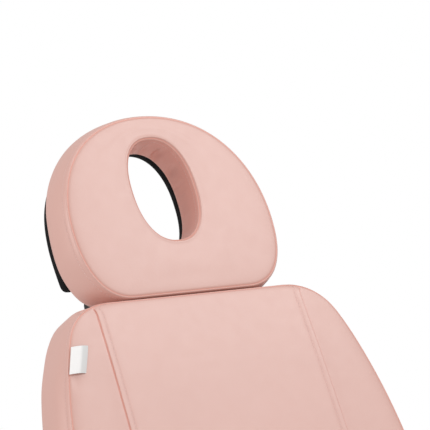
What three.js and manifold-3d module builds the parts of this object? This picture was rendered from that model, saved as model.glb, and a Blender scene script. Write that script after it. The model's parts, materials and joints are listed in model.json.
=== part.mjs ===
// Facial treatment bed: four upholstered sections on a telescopic lifting column.
// Millimetres, +Z up, +Y towards the head end, X across. The floor is z = 0 and the whole
// bed's bounding box is centred on the origin in X and Y.
import * as THREE from "three";
import { mergeVertices } from "three/addons/utils/BufferGeometryUtils.js";
import Module from "manifold-3d";

const wasm = await Module();
wasm.setup();

// ---- Driving dimensions -------------------------------------------------------------
const BED_SHIFT = 223.4; // moves the back hinge from y = 0 so that the bounding box is centred
const GAP = 0.3; // air left between pieces that touch
const SEAT_TOP = 620; // top of the seat cushion with the column down
const BOARD = 15; // plywood under each section

const BACK_ANGLE = 58.5; // backrest above horizontal as stored
const LEG_ANGLE = 35; // leg section below horizontal as stored
const HINGE_DEPTH = 50; // back hinge below the lying surface, and in from the cushion's end
const HINGE_Z = SEAT_TOP - HINGE_DEPTH;

const BACK_LENGTH = 690;
const BACK_FOAM = 90;
const BACK_TOP = BACK_LENGTH - HINGE_DEPTH; // top edge, measured from the hinge

const HEAD_GAP = 8; // between backrest and headrest
const HEAD_FOAM = 65;
const HEAD_BOARD = 14;
const HEAD_BOARD_START = 45; // the headrest's board stops short of its lower edge
const HEAD_FLARE = 16; // the headrest's back is this much taller than its face
const HEAD_Y = BACK_TOP + HEAD_GAP; // headrest's lower edge, in the backrest's frame
const HOLE_Y = 170; // face hole's centre above the headrest's lower edge
const HOLE_HALF = [57, 85];

const SEAT_FOAM = 105;
const SEAT_REAR = -56;
const SEAT_FRONT = -506;
const SEAT_HALF = 278;

const LEG_HINGE = { y: -511, z: 480 };
const LEG_FOAM = 95;
const LEG_LENGTH = 470;

const FRAME_TUBE = 40; // seat frame: 40 x 40 tube, its top under the seat board
const FRAME_TOP = SEAT_TOP - SEAT_FOAM - GAP - BOARD - GAP;
const FRAME_LOW = FRAME_TOP - FRAME_TUBE;
const FRAME_X = 200; // seat rails' centres
const REAR_CROSS = { y0: -80, y1: -40 };
const FRONT_CROSS = { y0: -490, y1: -450 };

const COLUMN_Y = -240;
const COLUMN_WALL = 4;
const BASE_TUBE = { wide: 60, high: 40, wall: 3 };
const BASE_X = 220; // base rails' centres
const BASE_FRONT = -500;
const BASE_REAR = 220;
const FOOT_HEIGHT = 25;
const BASE_LOW = FOOT_HEIGHT + GAP;
const BASE_TOP = BASE_LOW + BASE_TUBE.high;
const PLATE_LOW = BASE_TOP + GAP;
const PLATE_TOP = PLATE_LOW + 10;

const BACK_DRIVE = { x: 140, z: 413, arm: 175, centre: 37.5, tail: -476 };
const LEG_DRIVE = { x: -140, z: 363, arm: 130, centre: 37.5, tail: -60 };

const SIDE_PLATE = { x0: 287.5, x1: 293.5 };
const ARM_PIVOT = { y: -55, z: 735 };
const ARM_BAR = { x0: 295.5, x1: 301.5 };

const GUIDE = { x: 80, n: -67.5, outer: 12, bore: 9.2, y0: 430, y1: 630 };
const HEAD_BAR = { y: HEAD_Y + 25, n: HINGE_DEPTH - 92, r: 11 };

const ROUND = 16; // sides of a small round piece
const rad = THREE.MathUtils.degToRad;

// ---- Materials ----------------------------------------------------------------------
const paint = (color, roughness, metalness = 0) =>
  new THREE.MeshStandardMaterial({ color, roughness, metalness });
const UPHOLSTERY = paint(0xe3bdb3, 0.5);
const BLACK_VINYL = paint(0x1c1c1d, 0.6);
const WHITE_COAT = paint(0xe9e9e7, 0.4, 0.2);
const BLACK_COAT = paint(0x202124, 0.45, 0.3);
const STEEL = paint(0xb9bcc0, 0.25, 1);
const ALUMINIUM = paint(0xa8abae, 0.35, 1);
const GREY_PLASTIC = paint(0x5b5e62, 0.6);
const BLACK_PLASTIC = paint(0x17181a, 0.5);
const RUBBER = paint(0x222222, 0.9);

// ---- Geometry helpers ---------------------------------------------------------------
// A shape drawn in (x, y), raised from z0 to z1.
function extrudeZ(shape, z0, z1, edge = 0, segments = 5) {
  const geometry = new THREE.ExtrudeGeometry(shape, {
    depth: z1 - z0 - 2 * edge,
    bevelEnabled: edge > 0,
    bevelSize: edge,
    bevelOffset: -edge,
    bevelThickness: edge,
    bevelSegments: 2,
    curveSegments: segments,
  });
  return geometry.translate(0, 0, z0 + edge);
}

// A shape drawn in (y, z), extruded from x0 to x1.
function extrudeX(shape, x0, x1, segments = 5) {
  const turn = new THREE.Matrix4().set(0, 0, 1, 0, 1, 0, 0, 0, 0, 1, 0, 0, 0, 0, 0, 1);
  return extrudeZ(shape, x0, x1, 0, segments).applyMatrix4(turn);
}

// A shape drawn in (x, z), extruded from y0 to y1.
function extrudeY(shape, y0, y1, segments = 5) {
  return extrudeZ(shape, -y1, -y0, 0, segments).rotateX(Math.PI / 2);
}

function block(x0, x1, y0, y1, z0, z1) {
  const geometry = new THREE.BoxGeometry(x1 - x0, y1 - y0, z1 - z0);
  return geometry.translate((x0 + x1) / 2, (y0 + y1) / 2, (z0 + z1) / 2);
}

// A round bar along "x", "y" or "z" from a to b; p and q are its other two coordinates.
function bar(axis, r, a, b, p, q, sides = ROUND) {
  const geometry = new THREE.CylinderGeometry(r, r, b - a, sides);
  const middle = (a + b) / 2;
  if (axis === "x") return geometry.rotateZ(Math.PI / 2).translate(middle, p, q);
  if (axis === "y") return geometry.translate(p, middle, q);
  return geometry.rotateX(Math.PI / 2).translate(p, q, middle);
}

function rectangle(u0, u1, v0, v1) {
  return new THREE.Shape()
    .moveTo(u0, v0)
    .lineTo(u1, v0)
    .lineTo(u1, v1)
    .lineTo(u0, v1)
    .closePath();
}

// A rectangular hollow section, centred on (u, v).
function hollowSection(u, v, wide, high, wall) {
  const section = rectangle(u - wide / 2, u + wide / 2, v - high / 2, v + high / 2);
  section.holes.push(
    rectangle(
      u - wide / 2 + wall,
      u + wide / 2 - wall,
      v - high / 2 + wall,
      v + high / 2 - wall,
    ),
  );
  return section;
}

// The outline round two circles, as on a link plate. Each end is [u, v, radius].
function linkPlate([u0, v0, r0], [u1, v1, r1]) {
  const along = Math.atan2(v1 - v0, u1 - u0);
  const tilt = Math.acos((r0 - r1) / Math.hypot(u1 - u0, v1 - v0));
  const outline = new THREE.Shape();
  outline.absarc(u0, v0, r0, along + tilt, along - tilt + 2 * Math.PI, false);
  outline.absarc(u1, v1, r1, along - tilt, along + tilt, false);
  return outline;
}

function solid(geometry) {
  const bare = geometry.index ? geometry.toNonIndexed() : geometry.clone();
  bare.deleteAttribute("normal");
  bare.deleteAttribute("uv");
  const merged = mergeVertices(bare, 1e-3);
  return new wasm.Manifold(
    new wasm.Mesh({
      numProp: 3,
      vertProperties: merged.attributes.position.array,
      triVerts: new Uint32Array(merged.index.array),
    }),
  );
}

function toGeometry(manifold) {
  const mesh = manifold.getMesh();
  return new THREE.BufferGeometry()
    .setAttribute("position", new THREE.BufferAttribute(mesh.vertProperties, 3))
    .setIndex(new THREE.BufferAttribute(mesh.triVerts, 1));
}

const join = (...parts) =>
  toGeometry(parts.map(solid).reduce((all, next) => all.add(next)));
const cut = (body, ...tools) =>
  toGeometry(tools.map(solid).reduce((left, next) => left.subtract(next), solid(body)));
const overlap = (a, b) => toGeometry(solid(a).intersect(solid(b)));

// ---- Scene graph --------------------------------------------------------------------
const bed = new THREE.Group();
bed.position.y = BED_SHIFT;

const back = new THREE.Group(); // y runs up the backrest from the hinge, z out of its face
back.position.z = HINGE_Z;
back.rotation.x = rad(BACK_ANGLE);
bed.add(back);

const leg = new THREE.Group(); // -y runs down the leg section from its hinge
leg.position.set(0, LEG_HINGE.y, LEG_HINGE.z);
leg.rotation.x = rad(LEG_ANGLE);
bed.add(leg);

function piece(name, geometry, material, parent = bed) {
  const mesh = new THREE.Mesh(geometry, material);
  mesh.name = name;
  parent.add(mesh);
  return mesh;
}

const SIDES = [
  ["left", -1],
  ["right", 1],
];

// Mirrors an x range to the side wanted, lowest first.
const sided = (sign, x0, x1) => (sign > 0 ? [x0, x1] : [-x1, -x0]);

// ---- Base ---------------------------------------------------------------------------
const WHEEL = { y: 255, z: 45, r: 32, half: 11, pin: 5 };
const BASE_MIDDLE = (BASE_LOW + BASE_TOP) / 2;

// Each rail ends in two ears, with a wheel's pin welded between them.
function baseRail(sign) {
  const x = sign * BASE_X;
  const { wide, high, wall } = BASE_TUBE;
  const tube = extrudeY(hollowSection(x, BASE_MIDDLE, wide, high, wall), BASE_FRONT, BASE_REAR);
  const endPlate = block(x - wide / 2, x + wide / 2, BASE_REAR - 4, BASE_REAR, BASE_LOW, BASE_TOP);
  const ear = (side) => {
    const inner = x + side * (WHEEL.half + 2);
    const outer = x + side * (WHEEL.half + 7);
    const outline = linkPlate([BASE_REAR + 12, WHEEL.z, 18], [WHEEL.y, WHEEL.z, 12]);
    const root = block(
      Math.min(inner, outer),
      Math.max(inner, outer),
      BASE_REAR - 1,
      BASE_REAR + 12,
      WHEEL.z - 18,
      WHEEL.z + 18,
    );
    return join(extrudeX(outline, Math.min(inner, outer), Math.max(inner, outer)), root);
  };
  const reach = WHEEL.half + 5;
  const axle = bar("x", WHEEL.pin, x - reach, x + reach, WHEEL.y, WHEEL.z);
  return join(tube, endPlate, ear(-1), ear(1), axle);
}

function wheel(sign) {
  const profile = [
    [WHEEL.pin + 0.7, -WHEEL.half],
    [12, -WHEEL.half],
    [14, -WHEEL.half + 3],
    [24, -WHEEL.half + 3],
    [WHEEL.r - 3, -WHEEL.half],
    [WHEEL.r, -WHEEL.half + 4],
    [WHEEL.r, WHEEL.half - 4],
    [WHEEL.r - 3, WHEEL.half],
    [24, WHEEL.half - 3],
    [14, WHEEL.half - 3],
    [12, WHEEL.half],
    [WHEEL.pin + 0.7, WHEEL.half],
  ].map(([r, h]) => new THREE.Vector2(r, h));
  profile.push(profile[0].clone());
  return new THREE.LatheGeometry(profile, 24)
    .rotateZ(Math.PI / 2)
    .translate(sign * BASE_X, WHEEL.y, WHEEL.z);
}

function foot(x, y) {
  const profile = [
    [0, 0],
    [23, 0],
    [25, 2],
    [25, 8],
    [19, 14],
    [19, FOOT_HEIGHT],
    [0, FOOT_HEIGHT],
  ].map(([r, h]) => new THREE.Vector2(r, h));
  return new THREE.LatheGeometry(profile, 20).rotateX(Math.PI / 2).translate(x, y, 0);
}

for (const [side, sign] of SIDES) {
  piece(`base_rail_${side}`, baseRail(sign), WHITE_COAT);
  piece(`transport_wheel_${side}`, wheel(sign), RUBBER);
  const { wide, high, wall } = BASE_TUBE;
  const x = sign * BASE_X;
  const plug = block(
    x - wide / 2 + wall + GAP,
    x + wide / 2 - wall - GAP,
    BASE_FRONT - 1,
    BASE_FRONT + 14,
    BASE_LOW + wall + GAP,
    BASE_TOP - wall - GAP,
  );
  const lid = block(
    x - wide / 2,
    x + wide / 2,
    BASE_FRONT - 4,
    BASE_FRONT - GAP,
    BASE_LOW,
    BASE_TOP,
  );
  piece(`rail_end_cap_${side}`, join(plug, lid), BLACK_PLASTIC);
  piece(`foot_front_${side}`, foot(x, BASE_FRONT + 35), RUBBER);
  piece(`foot_rear_${side}`, foot(x, BASE_REAR - 35), RUBBER);
}

const CROSS_HALF = BASE_X - BASE_TUBE.wide / 2 - GAP;
for (const [name, y] of [
  ["base_cross_front", COLUMN_Y - 80],
  ["base_cross_rear", COLUMN_Y + 80],
]) {
  const section = hollowSection(
    y,
    BASE_MIDDLE,
    BASE_TUBE.wide,
    BASE_TUBE.high,
    BASE_TUBE.wall,
  );
  piece(name, extrudeX(section, -CROSS_HALF, CROSS_HALF), WHITE_COAT);
}
piece(
  "column_base_plate",
  block(-140, 140, COLUMN_Y - 140, -20, PLATE_LOW, PLATE_TOP),
  WHITE_COAT,
);

// ---- Lifting column: three stages, with a two-stage screw inside ---------------------
function columnStage(wide, long, z0, z1) {
  return extrudeZ(hollowSection(0, COLUMN_Y, wide, long, COLUMN_WALL), z0, z1);
}
const TOP_PLATE_LOW = FRAME_LOW - GAP - 10;
piece("column_outer", columnStage(170, 200, PLATE_TOP + GAP, 400), WHITE_COAT);
piece("column_middle", columnStage(154, 184, PLATE_TOP + 5, 424), WHITE_COAT);
piece("column_inner", columnStage(138, 168, PLATE_TOP + 15, TOP_PLATE_LOW - GAP), WHITE_COAT);
piece(
  "column_top_plate",
  block(-220, 220, COLUMN_Y - 90, COLUMN_Y + 90, TOP_PLATE_LOW, FRAME_LOW - GAP),
  BLACK_COAT,
);

function screwTube(outer, bore, z0, z1) {
  const tube = bar("z", outer, z0, z1, 0, COLUMN_Y);
  return cut(tube, bar("z", bore, z0 - 1, z1 + 1, 0, COLUMN_Y));
}
const MOTOR_TOP = 170;
const gearCase = block(-50, 50, COLUMN_Y - 35, COLUMN_Y + 35, PLATE_TOP + GAP, MOTOR_TOP);
const motorCan = bar("z", 26, PLATE_TOP + GAP, MOTOR_TOP - 12, 0, COLUMN_Y - 48);
piece("lift_motor", join(gearCase, motorCan), GREY_PLASTIC);
piece("lift_screw_outer", screwTube(28, 23, MOTOR_TOP + GAP, 398), ALUMINIUM);
piece("lift_screw_middle", screwTube(21, 16, MOTOR_TOP + 8, 420), ALUMINIUM);
piece(
  "lift_rod",
  bar("z", 14, MOTOR_TOP + 16, TOP_PLATE_LOW - GAP, 0, COLUMN_Y),
  STEEL,
);

// ---- Mains inlet and switch, in a box behind the column ------------------------------
const POWER = { half: 72, y0: -130, y1: -32, top: 165, wall: 3 };
const INLET = { x0: -24, x1: 24, z0: 105, z1: 135, flange: 3, depth: 22 };
const ROCKER = { x0: 8.5, x1: 19.5, z0: 111.5, z1: 128.5, y: POWER.y1 + 1 };
const inletHole = block(
  INLET.x0 + 3 - GAP,
  INLET.x1 - 3 + GAP,
  POWER.y1 - 10,
  POWER.y1 + 10,
  INLET.z0 + 3 - GAP,
  INLET.z1 - 3 + GAP,
);
piece(
  "power_box",
  cut(
    block(-POWER.half, POWER.half, POWER.y0, POWER.y1, PLATE_TOP + GAP, POWER.top),
    block(
      -POWER.half + POWER.wall,
      POWER.half - POWER.wall,
      POWER.y0 + POWER.wall,
      POWER.y1 - POWER.wall,
      PLATE_TOP - 10,
      POWER.top - POWER.wall,
    ),
    inletHole,
  ),
  BLACK_PLASTIC,
);
piece(
  "mains_inlet",
  cut(
    join(
      block(
        INLET.x0,
        INLET.x1,
        POWER.y1 + GAP,
        POWER.y1 + GAP + INLET.flange,
        INLET.z0,
        INLET.z1,
      ),
      block(
        INLET.x0 + 3,
        INLET.x1 - 3,
        POWER.y1 - INLET.depth,
        POWER.y1 + 1,
        INLET.z0 + 3,
        INLET.z1 - 3,
      ),
    ),
    block(-19, 2, POWER.y1 - 13, POWER.y1 + 10, 112.5, 127.5),
    block(
      ROCKER.x0 - 0.5,
      ROCKER.x1 + 0.5,
      POWER.y1 - 13,
      POWER.y1 + 10,
      ROCKER.z0 - 2,
      ROCKER.z1 + 2,
    ),
  ),
  BLACK_PLASTIC,
);
// The rocker's face is bent, so that one half stands out at a time.
const rockerOutline = new THREE.Shape()
  .moveTo(ROCKER.y - 8, ROCKER.z0 + 4)
  .lineTo(ROCKER.y + 4.6, ROCKER.z0 + 0.4)
  .lineTo(ROCKER.y + 3, 120)
  .lineTo(ROCKER.y + 2.4, ROCKER.z1 - 0.4)
  .lineTo(ROCKER.y - 8, ROCKER.z1 - 4)
  .closePath();
piece("mains_switch", extrudeX(rockerOutline, ROCKER.x0, ROCKER.x1), RUBBER);

// ---- Seat frame, which the column lifts ----------------------------------------------
const FRAME_MIDDLE = (FRAME_LOW + FRAME_TOP) / 2;
const TUBE_WALL = 2.5;
for (const [side, sign] of SIDES) {
  const section = hollowSection(
    sign * FRAME_X,
    FRAME_MIDDLE,
    FRAME_TUBE,
    FRAME_TUBE,
    TUBE_WALL,
  );
  const tube = extrudeY(section, LEG_HINGE.y - 14, REAR_CROSS.y0 - GAP);
  const across = sided(sign, FRAME_X - 30, FRAME_X + 30);
  piece(
    `seat_rail_${side}`,
    cut(tube, bar("x", 8.6, ...across, LEG_HINGE.y, LEG_HINGE.z)),
    BLACK_COAT,
  );
}

// A cross tube with a plate welded under it, which an actuator's tail is pinned to.
function crossWithBracket({ y0, y1 }, half, drive) {
  const middle = (y0 + y1) / 2;
  const section = hollowSection(middle, FRAME_MIDDLE, FRAME_TUBE, FRAME_TUBE, TUBE_WALL);
  const tube = extrudeX(section, -half, half);
  const hang = linkPlate([drive.tail, FRAME_LOW - 2, 18], [drive.tail, drive.z, 14]);
  const clear = block(drive.x - 9, drive.x + 9, y0 - 9, y1 + 9, FRAME_LOW + 1, FRAME_TOP);
  const ear = cut(extrudeX(hang, drive.x - 4, drive.x + 4), clear);
  return cut(
    join(tube, ear),
    bar("x", 6.6, drive.x - 10, drive.x + 10, drive.tail, drive.z),
  );
}
piece(
  "seat_cross_front",
  crossWithBracket(FRONT_CROSS, FRAME_X - FRAME_TUBE / 2 - GAP, BACK_DRIVE),
  BLACK_COAT,
);
piece(
  "seat_cross_rear",
  crossWithBracket(REAR_CROSS, SIDE_PLATE.x0 - GAP, LEG_DRIVE),
  BLACK_COAT,
);

function roundedPad(half, y0, y1, corner, farHalf = half, farCorner = corner) {
  return new THREE.Shape()
    .moveTo(-half + corner, y0)
    .lineTo(half - corner, y0)
    .quadraticCurveTo(half, y0, half, y0 + Math.sign(y1 - y0) * corner)
    .lineTo(farHalf, y1 - Math.sign(y1 - y0) * farCorner)
    .quadraticCurveTo(farHalf, y1, farHalf - farCorner, y1)
    .lineTo(-farHalf + farCorner, y1)
    .quadraticCurveTo(-farHalf, y1, -farHalf, y1 - Math.sign(y1 - y0) * farCorner)
    .lineTo(-half, y0 + Math.sign(y1 - y0) * corner)
    .quadraticCurveTo(-half, y0, -half + corner, y0);
}

const INSET = 12; // each board stops short of its cushion's edge
const EDGE = 10; // the rounding of a plain cushion
piece(
  "seat_board",
  extrudeZ(
    roundedPad(SEAT_HALF - INSET, SEAT_REAR - INSET, SEAT_FRONT + INSET, 25),
    FRAME_TOP + GAP,
    FRAME_TOP + GAP + BOARD,
  ),
  BLACK_VINYL,
);
piece(
  "seat_cushion",
  extrudeZ(
    roundedPad(SEAT_HALF, SEAT_REAR, SEAT_FRONT, 35),
    SEAT_TOP - SEAT_FOAM,
    SEAT_TOP,
    EDGE,
  ),
  UPHOLSTERY,
);

// Plates on the ends of the rear cross tube carry the back hinge and the armrests.
function sidePlate(sign) {
  const [x0, x1] = sided(sign, SIDE_PLATE.x0, SIDE_PLATE.x1);
  const hinge = linkPlate([-60, FRAME_MIDDLE + 4, 34], [0, HINGE_Z, 22]);
  const post = linkPlate([-60, FRAME_MIDDLE, 26], [ARM_PIVOT.y, ARM_PIVOT.z, 19]);
  const plate = join(extrudeX(hinge, x0, x1), extrudeX(post, x0, x1));
  const bored = cut(plate, bar("x", 6.7, x0 - 5, x1 + 5, 0, HINGE_Z));
  const stub = bar(
    "x",
    7,
    ...sided(sign, SIDE_PLATE.x0 + 1, ARM_BAR.x1 + 2),
    ARM_PIVOT.y,
    ARM_PIVOT.z,
  );
  const head = bar(
    "x",
    12,
    ...sided(sign, ARM_BAR.x1 + 1, ARM_BAR.x1 + 5),
    ARM_PIVOT.y,
    ARM_PIVOT.z,
  );
  return join(bored, stub, head);
}

function armBar(sign) {
  const [x0, x1] = sided(sign, ARM_BAR.x0, ARM_BAR.x1);
  const outline = linkPlate([ARM_PIVOT.y, ARM_PIVOT.z, 17], [-395, ARM_PIVOT.z + 5, 10]);
  const [f0, f1] = sided(sign, ARM_BAR.x0, 378);
  const shelf = block(f0, f1, -395, -90, ARM_PIVOT.z + 14, ARM_PIVOT.z + 19);
  const bore = bar("x", 7.9, x0 - 5, x1 + 5, ARM_PIVOT.y, ARM_PIVOT.z);
  return cut(join(extrudeX(outline, x0, x1), shelf), bore);
}

const ARM_PAD = { x0: 310, x1: 396, y0: -440, y1: -35, z0: ARM_PIVOT.z + 19 + GAP, z1: 812 };
function armPad(sign) {
  const [x0, x1] = sided(sign, ARM_PAD.x0, ARM_PAD.x1);
  const middle = (ARM_PAD.y0 + ARM_PAD.y1) / 2;
  const half = (ARM_PAD.x1 - ARM_PAD.x0) / 2;
  const reach = (ARM_PAD.y1 - ARM_PAD.y0) / 2;
  return extrudeZ(roundedPad(half, -reach, reach, 34), ARM_PAD.z0, ARM_PAD.z1, EDGE)
    .translate((x0 + x1) / 2, middle, 0);
}

for (const [side, sign] of SIDES) {
  piece(`side_plate_${side}`, sidePlate(sign), BLACK_COAT);
  piece(`armrest_bar_${side}`, armBar(sign), BLACK_COAT);
  piece(`armrest_pad_${side}`, armPad(sign), UPHOLSTERY);
}
piece(
  "leg_pivot_rod",
  bar("x", 8, -226, 226, LEG_HINGE.y, LEG_HINGE.z),
  STEEL,
);
piece(
  "control_box",
  block(-78, 78, -422, COLUMN_Y - 93, FRAME_TOP - 58, FRAME_TOP - 0.5),
  BLACK_PLASTIC,
);

// ---- Linear actuators ----------------------------------------------------------------
const TUBE_R = 17;
const ROD_R = 9;
const TAIL = 34; // from the tail pin to the gear case

// Gear case, motor below it, and a forked tail pinned to its bracket. way is +1 where the
// rod pushes towards the head end.
function actuatorBody({ x, z, tail }, way) {
  const at = (d) => tail + way * d;
  const span = (a, b) => [Math.min(at(a), at(b)), Math.max(at(a), at(b))];
  const gearBox = block(x - 25, x + 25, ...span(TAIL - 10, TAIL + 46), z - 26, z + 25);
  const mouth = bar("y", 12, ...span(TAIL + 16, TAIL + 50), x, z);
  const motor = bar("y", 24, ...span(TAIL - 6, TAIL + 116), x, z - 49);
  const cheek = (x0, x1) => {
    const arm = block(x0, x1, ...span(0, TAIL - 5), z - 13, z + 13);
    return join(arm, bar("x", 13, x0, x1, tail, z));
  };
  const pin = bar("x", 6, x - 14, x + 14, tail, z);
  const body = join(gearBox, motor, cheek(x - 13, x - 6), cheek(x + 6, x + 13), pin);
  return cut(body, mouth);
}

function actuatorTube({ x, z, tail }, way, length) {
  const start = tail + way * (TAIL + 46 + GAP);
  const end = start + way * length;
  const [y0, y1] = [Math.min(start, end), Math.max(start, end)];
  return cut(bar("y", TUBE_R, y0, y1, x, z), bar("y", 12, y0 - 1, y1 + 1, x, z));
}

// Rod with a slotted fork that straddles the lever and lets its pin rise and fall.
function actuatorRod({ x, z }, way, pinY, rodLength, slotHalf) {
  const at = (d) => pinY - way * d;
  const span = (a, b) => [Math.min(at(a), at(b)), Math.max(at(a), at(b))];
  const rod = bar("y", ROD_R, ...span(30, 30 + rodLength), x, z);
  const bridge = block(x - 11, x + 11, ...span(28, 42), z - 14, z + 14);
  const cheek = (x0, x1) =>
    cut(
      block(x0, x1, ...span(-20, 42), z - slotHalf - 9, z + slotHalf + 9),
      block(x0 - 1, x1 + 1, pinY - 10.5, pinY + 10.5, z - slotHalf, z + slotHalf),
    );
  return join(rod, bridge, cheek(x - 11, x - 5.5), cheek(x + 5.5, x + 11));
}

piece("back_motor", actuatorBody(BACK_DRIVE, 1), GREY_PLASTIC);
piece("back_actuator_tube", actuatorTube(BACK_DRIVE, 1, 231), ALUMINIUM);
piece("leg_motor", actuatorBody(LEG_DRIVE, -1), GREY_PLASTIC);
piece("leg_actuator_tube", actuatorTube(LEG_DRIVE, -1, 235), ALUMINIUM);

// ---- Backrest ------------------------------------------------------------------------
// Half-widths: 185 at the flat top edge, 300 at the shoulders' widest, 275 at the hinge.
function backOutline(inset, lowEnd) {
  const top = BACK_TOP - inset;
  const w = (x) => x - inset;
  return new THREE.Shape()
    .moveTo(-w(245), lowEnd)
    .lineTo(w(245), lowEnd)
    .quadraticCurveTo(w(275), lowEnd, w(275), lowEnd + 30)
    .bezierCurveTo(w(279), 90, w(300), 160, w(300), BACK_TOP - 360)
    .bezierCurveTo(w(300), BACK_TOP - 190, w(258), BACK_TOP - 85, w(235), BACK_TOP - 36 - inset / 2)
    .bezierCurveTo(w(224), top - 18, w(206), top, w(185), top)
    .lineTo(-w(185), top)
    .bezierCurveTo(-w(206), top, -w(224), top - 18, -w(235), BACK_TOP - 36 - inset / 2)
    .bezierCurveTo(-w(258), BACK_TOP - 85, -w(300), BACK_TOP - 190, -w(300), BACK_TOP - 360)
    .bezierCurveTo(-w(300), 160, -w(279), 90, -w(275), lowEnd + 30)
    .quadraticCurveTo(-w(275), lowEnd, -w(245), lowEnd);
}
const BACK_REAR = HINGE_DEPTH - BACK_FOAM; // the foam's rear face
// The lower end is round about the hinge, so that it never moves towards the seat.
const backSide = new THREE.Shape()
  .moveTo(-HINGE_DEPTH, BACK_REAR - 1)
  .lineTo(BACK_TOP + 1, BACK_REAR - 1)
  .lineTo(BACK_TOP + 1, HINGE_DEPTH + 1)
  .lineTo(0, HINGE_DEPTH + 1)
  .absarc(0, 0, HINGE_DEPTH, Math.PI / 2, Math.PI, false)
  .closePath();
piece(
  "back_cushion",
  overlap(
    extrudeZ(backOutline(0, -HINGE_DEPTH), BACK_REAR, HINGE_DEPTH, EDGE),
    extrudeX(backSide, -310, 310, 10),
  ),
  UPHOLSTERY,
  back,
);
const BACK_BOARD_LOW = BACK_REAR - GAP - BOARD;
piece(
  "back_board",
  extrudeZ(backOutline(INSET, -HINGE_DEPTH + 4), BACK_BOARD_LOW, BACK_REAR - GAP),
  BLACK_VINYL,
  back,
);

const BACK_RAIL = { x: 140, wide: 40, high: 25, y0: 40, y1: 590 };
const RAIL_TOP = BACK_BOARD_LOW - GAP;
const RAIL_LOW = RAIL_TOP - BACK_RAIL.high;
for (const [side, sign] of SIDES) {
  const section = hollowSection(
    sign * BACK_RAIL.x,
    (RAIL_TOP + RAIL_LOW) / 2,
    BACK_RAIL.wide,
    BACK_RAIL.high,
    2.5,
  );
  const tube = extrudeY(section, BACK_RAIL.y0 + GAP, BACK_RAIL.y1);
  piece(`back_rail_${side}`, tube, BLACK_COAT, back);
  const guide = cut(
    bar("y", GUIDE.outer, GUIDE.y0, GUIDE.y1, sign * GUIDE.x, GUIDE.n),
    bar("y", GUIDE.bore, GUIDE.y0 - 1, GUIDE.y1 + 1, sign * GUIDE.x, GUIDE.n),
  );
  piece(`headrest_guide_${side}`, guide, BLACK_COAT, back);
}

// Cross tube with an ear and a hinge pin at each end, welded up as one yoke.
const YOKE = { half: 286.5, ear: 5, y0: 6, y1: BACK_RAIL.y0 };
function yokeEnd(sign) {
  const ear = extrudeX(
    linkPlate([0, 0, 15], [24, (RAIL_TOP + RAIL_LOW) / 2, 14]),
    ...sided(sign, YOKE.half - YOKE.ear, YOKE.half),
  );
  const pin = bar("x", 6, ...sided(sign, YOKE.half - 1, SIDE_PLATE.x1 + 3), 0, 0);
  const head = bar("x", 10, ...sided(sign, SIDE_PLATE.x1 + 1, SIDE_PLATE.x1 + 4), 0, 0);
  return join(ear, pin, head);
}
const yokeTube = extrudeX(
  hollowSection((YOKE.y0 + YOKE.y1) / 2, (RAIL_TOP + RAIL_LOW) / 2, YOKE.y1 - YOKE.y0, 25, 2.5),
  -YOKE.half + 2,
  YOKE.half - 2,
);
piece("back_hinge_yoke", join(yokeTube, yokeEnd(-1), yokeEnd(1)), BLACK_COAT, back);

// The lever hooks forward under the rear cross tube to its drive pin.
const leverPin = {
  y: -BACK_DRIVE.arm * Math.sin(rad(BACK_DRIVE.centre)),
  n: -BACK_DRIVE.arm * Math.cos(rad(BACK_DRIVE.centre)),
};
const leverOutline = new THREE.Shape()
  .moveTo(BACK_RAIL.y0 + 1, RAIL_LOW - GAP)
  .lineTo(BACK_RAIL.y0 + 46, RAIL_LOW - GAP)
  .lineTo(BACK_RAIL.y0 + 26, -172)
  .lineTo(BACK_RAIL.y0 + 8, -184)
  .lineTo(leverPin.y, leverPin.n - 14)
  .absarc(leverPin.y, leverPin.n, 14, -Math.PI / 2, Math.PI / 2, true)
  .lineTo(BACK_RAIL.y0 - 22, -134)
  .closePath();
piece(
  "back_lever",
  join(
    extrudeX(leverOutline, BACK_DRIVE.x - 3, BACK_DRIVE.x + 3, 8),
    bar("x", 6, BACK_DRIVE.x - 12.5, BACK_DRIVE.x + 12.5, leverPin.y, leverPin.n),
  ),
  BLACK_COAT,
  back,
);
// The pin's y as stored; the slot is offset by 3 mm to share out the arc's error.
const backPinY = BACK_DRIVE.arm * Math.sin(rad(BACK_ANGLE - BACK_DRIVE.centre)) - 3;
piece("back_actuator_rod", actuatorRod(BACK_DRIVE, 1, backPinY, 283, 27), STEEL);

// ---- Headrest ------------------------------------------------------------------------
// Height of the flat lower edge is 0; the sides are widest, 179 each way, at 95.
function headOutline(scale, cutAt) {
  const w = (x) => x * scale;
  const outline = new THREE.Shape();
  if (cutAt > 0) {
    outline.moveTo(-w(168), cutAt).lineTo(w(168), cutAt);
    outline.quadraticCurveTo(w(179), cutAt + 22, w(179), 95);
  } else {
    outline.moveTo(-w(105), 0).lineTo(w(105), 0);
    outline.bezierCurveTo(w(150), 0, w(176), 40, w(179), 95);
  }
  const top = 290 - (1 - scale) * 179;
  outline.bezierCurveTo(w(186), 200, w(122), top, 0, top);
  outline.bezierCurveTo(-w(122), top, -w(186), 200, -w(179), 95);
  if (cutAt > 0) outline.quadraticCurveTo(-w(179), cutAt + 22, -w(168), cutAt);
  else outline.bezierCurveTo(-w(176), 40, -w(150), 0, -w(105), 0);
  const hole = new THREE.Path();
  hole.absellipse(0, HOLE_Y, ...HOLE_HALF, 0, 2 * Math.PI, true);
  outline.holes.push(hole);
  return outline;
}

// Leans the headrest's boxing out towards its top, in proportion to the depth below the face.
function leanedOut(geometry) {
  const place = geometry.attributes.position;
  for (let i = 0; i < place.count; i += 1) {
    const depth = Math.min(1, (HINGE_DEPTH - place.getZ(i)) / HEAD_FOAM);
    const height = THREE.MathUtils.smoothstep(place.getY(i), 60, 300);
    place.setY(i, place.getY(i) + HEAD_FLARE * depth * height);
  }
  return geometry;
}

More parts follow.
